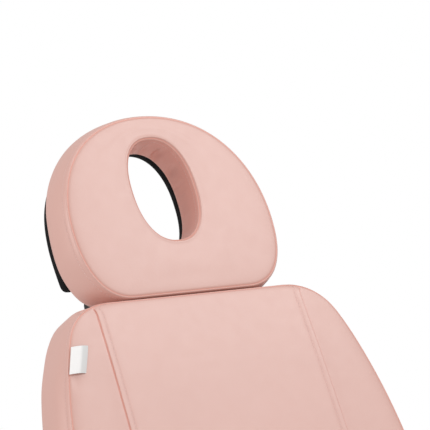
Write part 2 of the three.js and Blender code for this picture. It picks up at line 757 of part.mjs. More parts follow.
const headCushionLow = HINGE_DEPTH - HEAD_FOAM;
const headBoardLow = headCushionLow - GAP - HEAD_BOARD;
const headCushion = leanedOut(
  extrudeZ(headOutline(1, 0), headCushionLow, HINGE_DEPTH, 6, 8),
);
piece("headrest_cushion", headCushion.translate(0, HEAD_Y, 0), UPHOLSTERY, back);
const headBoard = leanedOut(
  extrudeZ(
    headOutline(0.975, HEAD_BOARD_START),
    headBoardLow,
    headCushionLow - GAP,
    0,
    8,
  ),
);
piece("headrest_board", headBoard.translate(0, HEAD_Y, 0), BLACK_VINYL, back);

function headEar(x0, x1) {
  const plateY = HEAD_Y + HEAD_BOARD_START + 18;
  const outline = linkPlate([HEAD_BAR.y, HEAD_BAR.n, 17], [plateY, headBoardLow - 6, 5]);
  return extrudeX(outline, x0, x1, 8);
}
piece(
  "headrest_bracket",
  cut(
    join(
      block(
        -75,
        75,
        HEAD_Y + HEAD_BOARD_START + 2,
        HEAD_Y + 82,
        headBoardLow - GAP - 4,
        headBoardLow - GAP,
      ),
      headEar(-64, -58),
      headEar(58, 64),
    ),
    bar("x", HEAD_BAR.r + 0.7, -80, 80, HEAD_BAR.y, HEAD_BAR.n),
    block(
      -80,
      80,
      HEAD_Y + HEAD_BOARD_START - 8,
      HEAD_Y + 90,
      headBoardLow - GAP,
      headBoardLow + 10,
    ),
  ),
  BLACK_COAT,
  back,
);

// Two rods welded under a round bar: the bar is the headrest's tilt pivot.
function slideRod(sign) {
  const x = sign * GUIDE.x;
  const rod = bar("y", 8, GUIDE.y0 + 15, HEAD_BAR.y + 4, x, GUIDE.n);
  const lug = block(x - 4, x + 4, HEAD_BAR.y - 14, HEAD_BAR.y + 12, GUIDE.n - 5, HEAD_BAR.n);
  return join(rod, lug);
}
piece(
  "headrest_slide_frame",
  join(
    bar("x", HEAD_BAR.r, -134, 134, HEAD_BAR.y, HEAD_BAR.n),
    slideRod(-1),
    slideRod(1),
  ),
  BLACK_COAT,
  back,
);

const KNOB = { y: 596, top: GUIDE.n - GUIDE.outer - GAP };
const knobProfile = [
  [0, 0],
  [5, 0],
  [5, -8],
  [10, -9],
  [18, -12],
  [19, -22],
  [15, -28],
  [0, -29],
]
  .map(([r, h]) => new THREE.Vector2(r, h))
  .reverse();
piece(
  "headrest_knob",
  new THREE.LatheGeometry(knobProfile, 18)
    .rotateX(Math.PI / 2)
    .translate(GUIDE.x, KNOB.y, KNOB.top),
  BLACK_PLASTIC,
  back,
);

// ---- Leg section ---------------------------------------------------------------------
const LEG_FACE = SEAT_TOP - LEG_HINGE.z;
const LEG_FOAM_LOW = LEG_FACE - LEG_FOAM;
const LEG_BOARD_LOW = LEG_FOAM_LOW - GAP - BOARD;
const legOutline = (inset) =>
  roundedPad(
    SEAT_HALF - inset,
    -5 - inset,
    -5 - LEG_LENGTH + inset,
    30,
    232 - inset,
    80 - inset,
  );
piece(
  "leg_cushion",
  extrudeZ(legOutline(0), LEG_FOAM_LOW, LEG_FACE, EDGE),
  UPHOLSTERY,
  leg,
);
piece(
  "leg_board",
  extrudeZ(legOutline(INSET), LEG_BOARD_LOW, LEG_FOAM_LOW - GAP),
  BLACK_VINYL,
  leg,
);

// Cross tube under the board with two hinge ears, two rails and the drive lever.
const legPin = {
  y: -LEG_DRIVE.arm * Math.sin(rad(LEG_DRIVE.centre)),
  z: -LEG_DRIVE.arm * Math.cos(rad(LEG_DRIVE.centre)),
};
const LEG_TUBE = { y0: -64, y1: -30, low: LEG_BOARD_LOW - GAP - 24, top: LEG_BOARD_LOW - GAP };
function legEar(x0, x1) {
  const middle = (LEG_TUBE.y0 + LEG_TUBE.y1) / 2;
  return extrudeX(linkPlate([0, 0, 15], [middle, LEG_TUBE.low + 12, 12]), x0, x1);
}
const legTube = extrudeX(
  hollowSection(
    (LEG_TUBE.y0 + LEG_TUBE.y1) / 2,
    (LEG_TUBE.low + LEG_TUBE.top) / 2,
    LEG_TUBE.y1 - LEG_TUBE.y0,
    LEG_TUBE.top - LEG_TUBE.low,
    2.5,
  ),
  -166,
  166,
);
const legLever = extrudeX(
  linkPlate([-46, LEG_TUBE.low + 8, 14], [legPin.y, legPin.z, 13]),
  LEG_DRIVE.x - 3,
  LEG_DRIVE.x + 3,
);
const legDrivePin = bar(
  "x",
  6,
  LEG_DRIVE.x - 12.5,
  LEG_DRIVE.x + 12.5,
  legPin.y,
  legPin.z,
);
piece(
  "leg_frame",
  cut(
    join(legTube, legEar(-166, -160), legEar(160, 166), legLever, legDrivePin),
    bar("x", 8.7, -180, 180, 0, 0),
  ),
  BLACK_COAT,
  leg,
);
const legPinY =
  LEG_HINGE.y + LEG_DRIVE.arm * Math.sin(rad(LEG_ANGLE - LEG_DRIVE.centre));
piece("leg_actuator_rod", actuatorRod(LEG_DRIVE, -1, legPinY, 225, 22.5), STEEL);

export default bed;
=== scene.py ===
"""The looks of a facial treatment bed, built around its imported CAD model.

Metres, +Z up, +Y towards the head end. Each upholstered section is sewn from panels, inflated
by cloth simulation, and then gets its seams and stitches. Steel and plastic CAD nodes keep
their shape.
"""

import json
import math

import bmesh
import bpy
import numpy as np
from mathutils import Matrix, Vector


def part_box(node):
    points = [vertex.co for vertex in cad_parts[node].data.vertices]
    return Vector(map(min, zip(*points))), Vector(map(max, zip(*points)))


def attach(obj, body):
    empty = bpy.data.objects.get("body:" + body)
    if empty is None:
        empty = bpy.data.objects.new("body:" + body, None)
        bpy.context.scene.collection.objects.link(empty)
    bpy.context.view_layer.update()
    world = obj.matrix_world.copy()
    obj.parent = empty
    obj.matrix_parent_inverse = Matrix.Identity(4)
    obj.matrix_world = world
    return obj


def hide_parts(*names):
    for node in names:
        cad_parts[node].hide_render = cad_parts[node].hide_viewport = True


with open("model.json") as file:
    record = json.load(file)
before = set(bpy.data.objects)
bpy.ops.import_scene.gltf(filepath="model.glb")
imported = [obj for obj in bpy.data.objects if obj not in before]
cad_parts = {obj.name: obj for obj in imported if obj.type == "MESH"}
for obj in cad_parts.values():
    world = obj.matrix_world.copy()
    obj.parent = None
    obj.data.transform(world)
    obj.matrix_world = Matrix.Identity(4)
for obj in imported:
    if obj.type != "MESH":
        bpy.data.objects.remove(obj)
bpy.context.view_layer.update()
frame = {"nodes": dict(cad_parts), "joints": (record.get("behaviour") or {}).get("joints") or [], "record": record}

MM = 0.001

# ---- Places and directions, from the CAD frame ---------------------------------------
JOINTS = {joint["name"]: joint for joint in frame["joints"]}
ACROSS = Vector((1, 0, 0))
LEG_DROP = math.radians(35)


def joint_place(name):
    return Vector(JOINTS[name]["pos_m"])


def section_frame(origin, along):
    """A section's own frame: x across, y towards the head, z out of the lying surface."""
    out = ACROSS.cross(along)
    axes = Matrix((ACROSS, along, out)).transposed().to_4x4()
    return Matrix.Translation(origin) @ axes


BACK = section_frame(joint_place("backrest_recline"), Vector(JOINTS["headrest_extend"]["axis"]))
SEAT = section_frame(joint_place("backrest_recline"), Vector((0, 1, 0)))
LEG = section_frame(
    joint_place("leg_section_tilt"), Vector((0, math.cos(LEG_DROP), math.sin(LEG_DROP)))
)

# Section sizes, in millimetres in each section's own frame, as in the CAD model except for
# the headrest's flare and sinking, which stand only for its cover.
BACK_TOP = 640
BACK_FACE = 50
BACK_FOAM = 90
SEAT_SEAM_X = 186
SLIM_TOP = 0.75  # the boxing's belly is this much thinner along the upper edge
HEAD_Y = 648  # the headrest's lower edge, up the backrest
HEAD_FOAM = 65
HEAD_FLARE = 13  # the headrest's back reaches this much higher than its face
HEAD_SPREAD = 6.5  # and this much wider, on each side
HEAD_SUNK = 3  # the headrest's face lies this much behind the backrest's
HOLE_CENTRE = (3.0, 168.5)
HOLE_HALF = (56.5, 85.5)
HOLE_ROUNDING = 2.3  # 2 is an ellipse; more is squarer
SEAT_REAR, SEAT_FRONT, SEAT_HALF, SEAT_FOAM = -56, -506, 278, 105
LEG_FACE, LEG_FOAM, LEG_REAR, LEG_FRONT = 140, 95, -5, -475
LEG_TOE_SEAM_X = 140
ARM_SEAM_X, ARM_CORNER = 22.0, 34
BOARD = 15
WALL_PAINTED_SHADE = 0.55  # how much of the seams' deeper colour the face hole's wall takes, as painted shade
HEAD = BACK @ Matrix.Translation((0, HEAD_Y * MM, 0))


# ---- Camera ---------------------------------------------------------------------------
def make_camera():
    """A long lens from the left of the foot end, aimed at the headrest."""
    turn, rise = math.radians(-33), math.radians(8.45)
    distance, view_width = 10.0, 0.6515
    aside, higher = 0.0288, 0.1197  # where it aims, from the middle of the backrest's top
    towards = Vector(
        (math.sin(turn) * math.cos(rise), -math.cos(turn) * math.cos(rise), math.sin(rise))
    )
    right = Vector((math.cos(turn), math.sin(turn), 0))
    above = towards.cross(right)
    top_edge = BACK @ Vector((0, BACK_TOP * MM, BACK_FACE * MM))
    target = top_edge + right * aside + above * higher
    data = bpy.data.cameras.new("camera")
    data.sensor_width = 36
    data.lens = data.sensor_width * distance / view_width
    data.clip_end = 100
    camera = bpy.data.objects.new("camera", data)
    camera.location = target + towards * distance
    camera.rotation_euler = towards.to_track_quat("Z", "Y").to_euler()
    bpy.context.scene.collection.objects.link(camera)
    bpy.context.scene.camera = camera


make_camera()


# ---- Materials ------------------------------------------------------------------------
class Nodes:
    """Builds a material's node tree with short calls."""

    def __init__(self, name):
        self.material = bpy.data.materials.new(name)
        self.material.use_nodes = True
        self.tree = self.material.node_tree
        self.shader = self.tree.nodes["Principled BSDF"]
        self.place = self.add("ShaderNodeTexCoord").outputs["Object"]

    def add(self, kind, **settings):
        node = self.tree.nodes.new(kind)
        for key, value in settings.items():
            if hasattr(node, key):
                setattr(node, key, value)
            else:
                node.inputs[key.replace("_", " ")].default_value = value
        return node

    def link(self, output, socket):
        self.tree.links.new(output, socket)
        return socket

    def noise(self, scale, detail=3.0, roughness=0.5):
        node = self.add("ShaderNodeTexNoise", Scale=scale, Detail=detail, Roughness=roughness)
        self.link(self.place, node.inputs["Vector"])
        return node.outputs["Fac"]

    def cells(self, scale, feature="F1"):
        node = self.add("ShaderNodeTexVoronoi", Scale=scale, feature=feature)
        self.link(self.place, node.inputs["Vector"])
        return node.outputs["Distance"]

    def remap(self, value, low, high, to_low, to_high):
        node = self.add("ShaderNodeMapRange")
        for socket, number in zip(node.inputs[1:5], (low, high, to_low, to_high)):
            socket.default_value = number
        self.link(value, node.inputs[0])
        return node.outputs[0]

    def mix(self, share, first, second):
        node = self.add("ShaderNodeMix", data_type="RGBA")
        self.link(share, node.inputs[0])
        for socket, colour in ((node.inputs[6], first), (node.inputs[7], second)):
            if isinstance(colour, tuple):
                socket.default_value = (*colour, 1)
            else:
                self.link(colour, socket)
        return node.outputs[2]

    def attribute(self, name):
        return self.add("ShaderNodeAttribute", attribute_name=name).outputs["Fac"]

    def bump(self, height, distance, strength=1.0, under=None):
        node = self.add("ShaderNodeBump", Distance=distance, Strength=strength)
        self.link(height, node.inputs["Height"])
        if under is not None:
            self.link(under, node.inputs["Normal"])
        return node.outputs["Normal"]

    def finish(self, colour, roughness, normal=None, **constants):
        shader = self.shader
        self.link(colour, shader.inputs["Base Color"])
        self.link(roughness, shader.inputs["Roughness"])
        if normal is not None:
            self.link(normal, shader.inputs["Normal"])
        for key, value in constants.items():
            shader.inputs[key.replace("_", " ")].default_value = value
        return self.material


def leatherette(name, colour, grain_and_seam_shade_colour):
    """Soft vinyl: fine pebbled grain, slight blotches, and painted shade: a deeper colour down in the seams and
    the face hole's wall.
    """
    n = Nodes(name)
    blotch = n.remap(n.noise(9), 0.35, 0.65, 0, 1)
    pale = tuple(min(1, c * 1.008) for c in colour)
    deep = tuple(c * 0.992 for c in colour)
    base = n.mix(blotch, deep, pale)
    grain = n.cells(1150)
    base = n.mix(n.remap(grain, 0.0, 0.7, 0.10, 0.0), base, grain_and_seam_shade_colour)
    # Painted shade: the seam mask deepens the colour in the seams' grooves and down the face hole's wall.
    base = n.mix(n.attribute("seam"), base, grain_and_seam_shade_colour)
    rough = n.remap(n.noise(60, 4), 0.3, 0.7, 0.395, 0.425)
    pebbles = n.bump(grain, 0.00012, 0.35)
    creases = n.bump(n.noise(420, 5, 0.6), 0.0003, 0.18, pebbles)
    return n.finish(base, rough, creases, Specular_IOR_Level=1.0)


def thread(name, colour):
    n = Nodes(name)
    ply = n.add("ShaderNodeTexWave", Scale=900.0, Distortion=1.0)
    n.link(n.place, ply.inputs["Vector"])
    shade = tuple(c * 0.8 for c in colour)
    base = n.mix(ply.outputs["Fac"], shade, colour)
    rough = n.remap(n.noise(300), 0, 1, 0.55, 0.75)
    return n.finish(base, rough, n.bump(ply.outputs["Fac"], 0.0001, 0.5), Sheen_Weight=0.2)


def coated_metal(name, colour, roughness, texture_size, texture_depth):
    """Powder coat: a fine orange-peel skin, a little lighter where edges are rubbed."""
    n = Nodes(name)
    geometry = n.add("ShaderNodeNewGeometry")
    rubbed = n.remap(geometry.outputs["Pointiness"], 0.515, 0.60, 0, 0.35)
    dust = n.remap(n.noise(14, 5), 0.4, 0.75, 0, 0.10)
    light = tuple(min(1, c * 1.25 + 0.05) for c in colour)
    base = n.mix(rubbed, colour, light)
    base = n.mix(dust, base, tuple(c * 0.82 for c in colour))
    skin = n.noise(texture_size, 2)
    rough = n.remap(n.noise(45, 4), 0.3, 0.7, roughness - 0.05, roughness + 0.07)
    return n.finish(base, rough, n.bump(skin, texture_depth, 0.5), Specular_IOR_Level=0.5)


def bare_metal(name, colour, roughness, grain=2500.0):
    """Turned or drawn metal with fine lines across and a few handling marks."""
    n = Nodes(name)
    lines = n.add("ShaderNodeTexNoise", Scale=1.0, Detail=2.0)
    stretch = n.add("ShaderNodeMapping")
    stretch.inputs["Scale"].default_value = (60, grain, 60)
    n.link(n.place, stretch.inputs["Vector"])
    n.link(stretch.outputs["Vector"], lines.inputs["Vector"])
    marks = n.remap(n.noise(70, 6, 0.7), 0.45, 0.8, 0, 0.5)
    base = n.mix(marks, colour, tuple(c * 0.8 for c in colour))
    rough = n.remap(lines.outputs["Fac"], 0.3, 0.7, roughness - 0.05, roughness + 0.08)
    normal = n.bump(lines.outputs["Fac"], 0.00005, 0.4)
    return n.finish(base, rough, normal, Metallic=1.0)


def moulded_plastic(name, colour, roughness):
    """Spark-eroded mould texture with slight scuffs."""
    n = Nodes(name)
    scuffs = n.remap(n.noise(38, 6, 0.65), 0.5, 0.8, 0, 0.25)
    base = n.mix(scuffs, colour, tuple(min(1, c * 1.3 + 0.02) for c in colour))
    rough = n.remap(n.noise(160, 3), 0.3, 0.7, roughness - 0.06, roughness + 0.06)
    return n.finish(base, rough, n.bump(n.noise(2200, 2), 0.00012, 0.4))


def cloth_backed(name, colour):
    """Black covering of the boards: close felt-like grain."""
    n = Nodes(name)
    fibres = n.noise(1600, 4, 0.7)
    base = n.mix(n.remap(fibres, 0.35, 0.7, 0, 1), colour, tuple(c * 1.5 for c in colour))
    rough = n.remap(n.noise(90), 0.3, 0.7, 0.62, 0.8)
    return n.finish(base, rough, n.bump(fibres, 0.0002, 0.5), Specular_IOR_Level=0.15)


def woven_label(name, colour, fold_shade_colour):
    """Satin ribbon with a plain grey band along its free end, painted shade standing for the shade on that
    turned-away end.
    """
    n = Nodes(name)
    weave = n.add("ShaderNodeTexWave", Scale=700.0, Distortion=0.5)
    n.link(n.place, weave.inputs["Vector"])
    base = n.mix(n.attribute("fold_shade"), colour, fold_shade_colour)
    rough = n.remap(n.noise(120), 0.3, 0.7, 0.45, 0.6)
    return n.finish(base, rough, n.bump(weave.outputs["Fac"], 0.00005, 0.4))


# The second colour is the painted shade in the seams and the face hole's wall, and the grain's deeper tone.
PINK = leatherette("pink_leatherette", (0.700, 0.415, 0.357), (0.77, 0.285, 0.205))
THREAD = thread("pink_thread", (0.86, 0.62, 0.575))
BACKING = cloth_backed("black_backing", (0.0035, 0.0035, 0.004))
WHITE_COAT = coated_metal("white_powder_coat", (0.80, 0.80, 0.785), 0.36, 900, 0.00010)
BLACK_COAT = coated_metal("black_powder_coat", (0.009, 0.009, 0.010), 0.50, 1500, 0.00020)
STEEL = bare_metal("bright_steel", (0.72, 0.73, 0.75), 0.20)
ALUMINIUM = bare_metal("drawn_aluminium", (0.66, 0.67, 0.68), 0.34)
ZINC = bare_metal("zinc_plate", (0.60, 0.61, 0.60), 0.30)
GREY_PLASTIC = moulded_plastic("grey_plastic", (0.105, 0.11, 0.12), 0.50)
BLACK_PLASTIC = moulded_plastic("black_plastic", (0.012, 0.012, 0.013), 0.42)
RUBBER = moulded_plastic("rubber", (0.018, 0.018, 0.018), 0.75)
# The second colour is painted shade on the tag's turned-away end.
LABEL = woven_label("white_label", (0.97, 0.97, 0.965), (0.76, 0.775, 0.77))

SLOT_MATERIALS = {
    "upholstery": PINK,
    "black_backing": BACKING,
    "white_coat": WHITE_COAT,
    "black_coat": BLACK_COAT,
    "bright_steel": STEEL,
    "aluminium_tube": ALUMINIUM,
    "grey_plastic": GREY_PLASTIC,
    "black_plastic": BLACK_PLASTIC,
    "rubber": RUBBER,
}


# ---- Mesh helpers ---------------------------------------------------------------------
def new_object(name, points, faces, material, matrix=None):
    """A mesh object from points in millimetres in a section's frame."""
    mesh = bpy.data.meshes.new(name)
    coords = np.asarray(points, float) * MM
    mesh.from_pydata(coords.tolist(), [], faces)
    if matrix is not None:
        mesh.transform(matrix)
    shell = bmesh.new()
    shell.from_mesh(mesh)
    bmesh.ops.recalc_face_normals(shell, faces=shell.faces)
    shell.to_mesh(mesh)
    shell.free()
    mesh.polygons.foreach_set("use_smooth", [True] * len(mesh.polygons))
    mesh.materials.append(material)
    mesh.update()
    made = bpy.data.objects.new(name, mesh)
    bpy.context.scene.collection.objects.link(made)
    return made


def bezier(p0, p1, p2, p3, count=24):
    t = np.linspace(0, 1, count, endpoint=False)[:, None]
    p0, p1, p2, p3 = (np.array(p, float) for p in (p0, p1, p2, p3))
    return (1 - t) ** 3 * p0 + 3 * (1 - t) ** 2 * t * p1 + 3 * (1 - t) * t**2 * p2 + t**3 * p3


def quadratic(p0, p1, p2, count=16):
    t = np.linspace(0, 1, count, endpoint=False)[:, None]
    p0, p1, p2 = (np.array(p, float) for p in (p0, p1, p2))
    return (1 - t) ** 2 * p0 + 2 * (1 - t) * t * p1 + t**2 * p2


def smoothstep(value, low, high):
    t = np.clip((value - low) / (high - low), 0, 1)
    return t * t * (3 - 2 * t)


def resample(loop, count):
    """Evenly spaced points round a closed loop."""
    closed = np.vstack([loop, loop[:1]])
    run = np.concatenate([[0], np.cumsum(np.linalg.norm(np.diff(closed, axis=0), axis=1))])
    at = np.linspace(0, run[-1], count, endpoint=False)
    return np.stack([np.interp(at, run, closed[:, k]) for k in range(loop.shape[1])], axis=1)


def loop_normals(loop):
    """Outward normals of a clockwise or anticlockwise closed loop in the plane."""
    tangent = np.roll(loop, -1, axis=0) - np.roll(loop, 1, axis=0)
    tangent /= np.linalg.norm(tangent, axis=1)[:, None] + 1e-12
    normal = np.stack([tangent[:, 1], -tangent[:, 0]], axis=1)
    x, y = loop.T
    area = np.sum(x * np.roll(y, -1) - np.roll(x, -1) * y)
    return normal if area > 0 else -normal


def distance_to_loop(points, loop):
    """Distance of each point from a closed polyline in the plane."""
    start, end = loop, np.roll(loop, -1, axis=0)
    side = end - start
    best = np.full(len(points), 1e9)
    for a, d in zip(start, side):
        t = np.clip(((points - a) @ d) / (d @ d + 1e-12), 0, 1)
        best = np.minimum(best, np.linalg.norm(points - a - t[:, None] * d, axis=1))
    return best


def bridge(first, second, closed=True):
    """Quads between two rows of vertex numbers."""
    count = len(first)
    steps = range(count if closed else count - 1)
    return [
        (first[i], second[i], second[(i + 1) % count], first[(i + 1) % count]) for i in steps
    ]


# ---- Upholstered sections: panels -----------------------------------------------------
EDGE_STEPS = [0, 0.8, 2.0, 4.0, 7.0, 11.0, 17.0, 25.0]  # distances from a seam
STITCH_IN = 10.0  # the boxing's stitch row, below the face seam
SEAM_STEP = 1.6  # the centre panel stands this much above the side panels
TOP_STITCH = 9.5  # the centre panel's stitch row, in from its seam


def boxing_depths(height):
    """Depths of the boxing's rows below the face seam, close together at both edges."""
    top = [0.8, 1.8, 3.5, 6.0, STITCH_IN - 1.5, STITCH_IN, STITCH_IN + 1.5, 16.0]
    bottom = [height - 10, height - 6, height - 3, height - 1, height]
    middle = np.linspace(top[-1], bottom[0], max(3, round((bottom[0] - top[-1]) / 9)) + 1)
    return top + list(middle[1:-1]) + bottom


def boxing_out(depth, height, bulge=5.0):
    """How far the boxing stands out: a felled strip down to the stitches, then a bulge."""
    strip = 1.3 * smoothstep(depth, 0, 1.8) - 1.1 * smoothstep(depth, STITCH_IN - 2, STITCH_IN)
    belly = bulge * math.sin(math.pi * min(1, max(0, depth / height))) ** 0.6
    tuck = -2.5 * smoothstep(depth, height - 6, height) ** 2
    return strip + belly + tuck


class Pad:
    """Points, faces and named rows of one cushion, in its section's frame, in millimetres."""

    def __init__(self):
        self.points = []
        self.faces = []
        self.pinned = []
        self.rows = {}

    def count(self):
        return sum(len(row) for row in self.points)

    def add_row(self, row, pinned):
        start = self.count()
        self.points.append(np.asarray(row, float))
        self.pinned.append(np.broadcast_to(np.asarray(pinned, float), (len(row),)).copy())
        return list(range(start, start + len(row)))

    def add_ring(self, ring, z, pinned, last):
        """A closed row at one height, joined to the row before it."""
        row = self.add_row(np.column_stack([ring, np.full(len(ring), z)]), pinned)
        self.faces += bridge(last, row)
        return row

    def add_boxing(self, ring_at, depths, face_z, last, stitches):
        """Rings along a boxing, held at both edges. ring_at(depth) is its outline there."""
        for depth in depths:
            held = float(depth < STITCH_IN + 1 or depth > max(depths) - 8)
            last = self.add_ring(ring_at(depth), face_z - depth, held, last)
            if depth == STITCH_IN:
                self.rows[stitches] = last
        return last

    def all_points(self):
        return np.vstack(self.points)


def close_back(pad, rim, shape):
    """Fills the flat back inside its last row with the same rows and columns as the face."""
    rows, columns = shape
    back = np.zeros(shape, int)
    rim = np.array(rim)
    back[0] = rim[:columns]
    back[1:, -1] = rim[columns : columns + rows - 1]
    back[-1, -2::-1] = rim[columns + rows - 1 : 2 * columns + rows - 2]
    back[-2:0:-1, 0] = rim[2 * columns + rows - 2 :]
    points = pad.all_points()
    share = np.linspace(0, 1, columns)[1:-1, None]
    for row in range(1, rows - 1):
        left, right = points[back[row, 0]], points[back[row, -1]]
        back[row, 1:-1] = pad.add_row(left + (right - left) * share, 1.0)
    for upper, lower in zip(back[:-1], back[1:]):
        pad.faces += bridge(list(upper), list(lower), closed=False)


def no_lean(outline, normals):
    return np.zeros(len(outline))


def grid_pad(edge, face_z, height, seam_x, inner_seam, slim_top=0, lean=no_lean):
    """A cushion with a face of rows and columns, boxing all round, and a flat back.

    edge: its right-hand outline, from the head end to the foot end. seam_x(y) is where the
    two lengthwise seams lie, or only where the columns change when inner_seam is false.
    lean(outline, normals) is how much further the boxing leans out below the stitches.
    """
    pad = Pad()
    top, low = edge[0, 1], edge[-1, 1]
    ends = np.array(EDGE_STEPS)
    middle = np.arange(top - 35, low + 30, -10.0)
    ys = np.concatenate([top - ends, middle, low + ends[::-1]])
    widths = np.interp(-ys, -edge[:, 1], edge[:, 0])
    near = [0, 0.5, 1.4, 3.0, 6.0, TOP_STITCH - 1.2, TOP_STITCH, TOP_STITCH + 1.2, 15, 21, 30]
    grid = []
    for y, width in zip(ys, widths):
        seam = min(seam_x(y), width - 3.5)
        inner = seam - np.array(near) * min(1, seam / 60)
        core = np.linspace(-inner[-1], inner[-1], max(3, round(2 * seam_x(low) / 12)))
        wing = width - seam
        squeeze = min(1, wing / 62)
        outer = seam + np.array([0.6, 1.6, 4, 9, 16, 25]) * squeeze
        rim = width - ends[::-1] * squeeze
        half = np.concatenate([inner[-2::-1], outer, rim])
        grid.append(np.concatenate([-half[::-1], core, half]))
    grid = np.array(grid)
    columns = grid.shape[1]
    loop = np.vstack([edge, edge[::-1] * [-1, 1]])
    flat = np.stack([grid.ravel(), np.repeat(ys, columns)], axis=1)
    gap = distance_to_loop(flat, loop)
    lift = -1.2 * np.exp(-((gap / 0.9) ** 2))
    face = np.column_stack([flat, face_z + lift])
    numbers = np.array(pad.add_row(face, 1 - smoothstep(gap, 1.5, 4.0)))
    numbers = numbers.reshape(len(ys), columns)
    for upper, lower in zip(numbers[:-1], numbers[1:]):
        pad.faces += bridge(list(upper), list(lower), closed=False)
    rim = list(numbers[0]) + list(numbers[1:, -1]) + list(numbers[-1, ::-1][1:])
    rim += list(numbers[1:-1, 0][::-1])
    core_start = len(near) - 1 + 6 + len(ends)
    if inner_seam:
        stitch = near.index(TOP_STITCH)
        right = columns - core_start + (len(near) - 2 - stitch)
        pad.rows["top_stitch_right"] = [int(n) for n in numbers[1:-1, right]]
        pad.rows["top_stitch_left"] = [int(n) for n in numbers[1:-1, columns - 1 - right]]
    outline = pad.all_points()[rim][:, :2]
    normals = loop_normals(outline)
    fullness = 5.5 * (1 - slim_top * (1 - smoothstep(top - outline[:, 1], 20, 240)))
    leaning = lean(outline, normals)

    def boxing_at(depth):
        tilt = smoothstep(depth, 2, 0.35 * height) * (1 - smoothstep(depth, height - 9, height))
        return outline + normals * (boxing_out(depth, height, fullness) + leaning * tilt)[:, None]

    last = pad.add_boxing(boxing_at, boxing_depths(height), face_z, rim, "boxing_stitch")
    for inset in (9.0, 16.0, 30.0):
        last = pad.add_ring(outline - normals * inset, face_z - height, 1.0, last)
    close_back(pad, last, numbers.shape)
    pad.face_count = numbers.size
    pad.gap = gap
    return pad


def hole_outline(angle, half):
    """Points of the face hole's rounded outline, one for each angle."""
    unit = np.stack([np.cos(angle), np.sin(angle)], axis=1)
    reach = np.sum(np.abs(unit) ** HOLE_ROUNDING, axis=1)[:, None] ** (-1 / HOLE_ROUNDING)
    return unit * reach * half + HOLE_CENTRE


def ring_pad(outer, face_z, height, flare):
    """A cushion with a hole through it: rings from the outer seam to the hole's seam, down
    the hole's wall, across the back, and up the boxing. flare(points, depth) leans the boxing."""
    pad = Pad()
    x, y = ((outer - HOLE_CENTRE) / HOLE_HALF).T
    hole = hole_outline(np.arctan2(y, x), HOLE_HALF)
    span = np.linalg.norm(outer - hole, axis=1)[:, None]
    room = np.minimum(1, span / (2.6 * EDGE_STEPS[-1]))
    shares = [step * room / span for step in EDGE_STEPS]
    inner = [1 - step * room / span for step in EDGE_STEPS[::-1]]
    between = [shares[-1] + (inner[0] - shares[-1]) * t for t in np.linspace(0, 1, 9)[1:-1]]
    pad.gap = []
    last = None
    for share in shares + between + inner:
        ring = outer + (hole - outer) * share
        gap = np.minimum(share, 1 - share)[:, 0] * span[:, 0]
        lift = -1.2 * np.exp(-((gap / 0.9) ** 2))
        lip = ((1 - share) * span)[:, 0]
        lift = lift + 1.5 * np.exp(-(((lip - 2.6) / 1.7) ** 2))
        row = pad.add_row(np.column_stack([ring, face_z + lift]), 1 - smoothstep(gap, 1.5, 4.0))
        pad.gap.append(gap)
        if last is not None:
            pad.faces += bridge(last, row)
        else:
            first = row
        last = row
    pad.gap = np.concatenate(pad.gap)
    pad.face_count = len(pad.gap)
    into_hole, outward = -loop_normals(hole), loop_normals(outer)

    def wall_at(depth):
        return hole + into_hole * boxing_out(depth, height, bulge=2.0)

    def boxing_at(depth):
        return flare(outer, depth) + outward * boxing_out(depth, height)

    wall_start = pad.count()
    depths = boxing_depths(height)
    last = pad.add_boxing(wall_at, depths, face_z, last, "hole_stitch")
    pad.wall = (wall_start, pad.count())
    for share in (0.15, 0.35, 0.65, 0.85):
        ring = hole + (flare(outer, height) - hole) * share
        last = pad.add_ring(ring, face_z - height, 1.0, last)
    last = pad.add_boxing(boxing_at, depths[::-1], face_z, last, "boxing_stitch")
    pad.faces += bridge(last, first)
    return pad


# ---- Upholstered sections: outlines ---------------------------------------------------
def back_edge():
    corner = (233, BACK_TOP - 38)
    widest = (298, BACK_TOP - 365)
    return np.vstack(
        [
            bezier((160, BACK_TOP), (188, BACK_TOP), (217, BACK_TOP - 13), corner),
            bezier(corner, (251, BACK_TOP - 66), (297, BACK_TOP - 195), widest),
            bezier(widest, (299, 160), (279, 90), (275, -20)),
            quadratic((275, -20), (275, -50), (245, -50)),
            [(245, -50)],
        ]
    )


def backrest_lean(outline, normals):
    """The backrest's board is squarer than its face: the boxing leans out, mostly at the
    upper corners."""
    across, up = np.abs(normals[:, 0]), np.maximum(normals[:, 1], 0)
    corner = 4.75 * across * up**6 * smoothstep(outline[:, 1], 450, 560)
    run = outline[:, 1]
    sides = smoothstep(run, 270, 430) * (1 - smoothstep(run, 530, 600)) * across
    return 7.8 * corner + 5.5 * sides


def backrest_seam(y):
    """The backrest's lengthwise seams: nearly straight, and turned out into the top edge."""
    down = BACK_TOP - y
    straight = 182 + 0.026 * min(down, 260)
    return straight + 13.5 * max(0, 1 - down / 16) ** 2.2


def rounded_edge(half, top, low, corner, far_half=None, far_corner=None):
    far_half = far_half or half
    far_corner = far_corner or corner
    return np.vstack(
        [
            quadratic((half - corner, top), (half, top), (half, top - corner)),
            quadratic(
                (far_half, low + far_corner), (far_half, low), (far_half - far_corner, low)
            ),
            [(far_half - far_corner, low)],
        ]
    )


def head_outline(count=200):
    right = np.vstack(
        [
            bezier((103, 0), (150, 0), (174, 40), (176.5, 95), 60),
            bezier((176.5, 95), (183, 200), (120, 289), (0, 289), 60),
        ]
    )
    left = np.vstack([[(0, 289)], right[:0:-1] * [-1, 1], [(-103, 0)]])
    return resample(np.vstack([right, left]), count)


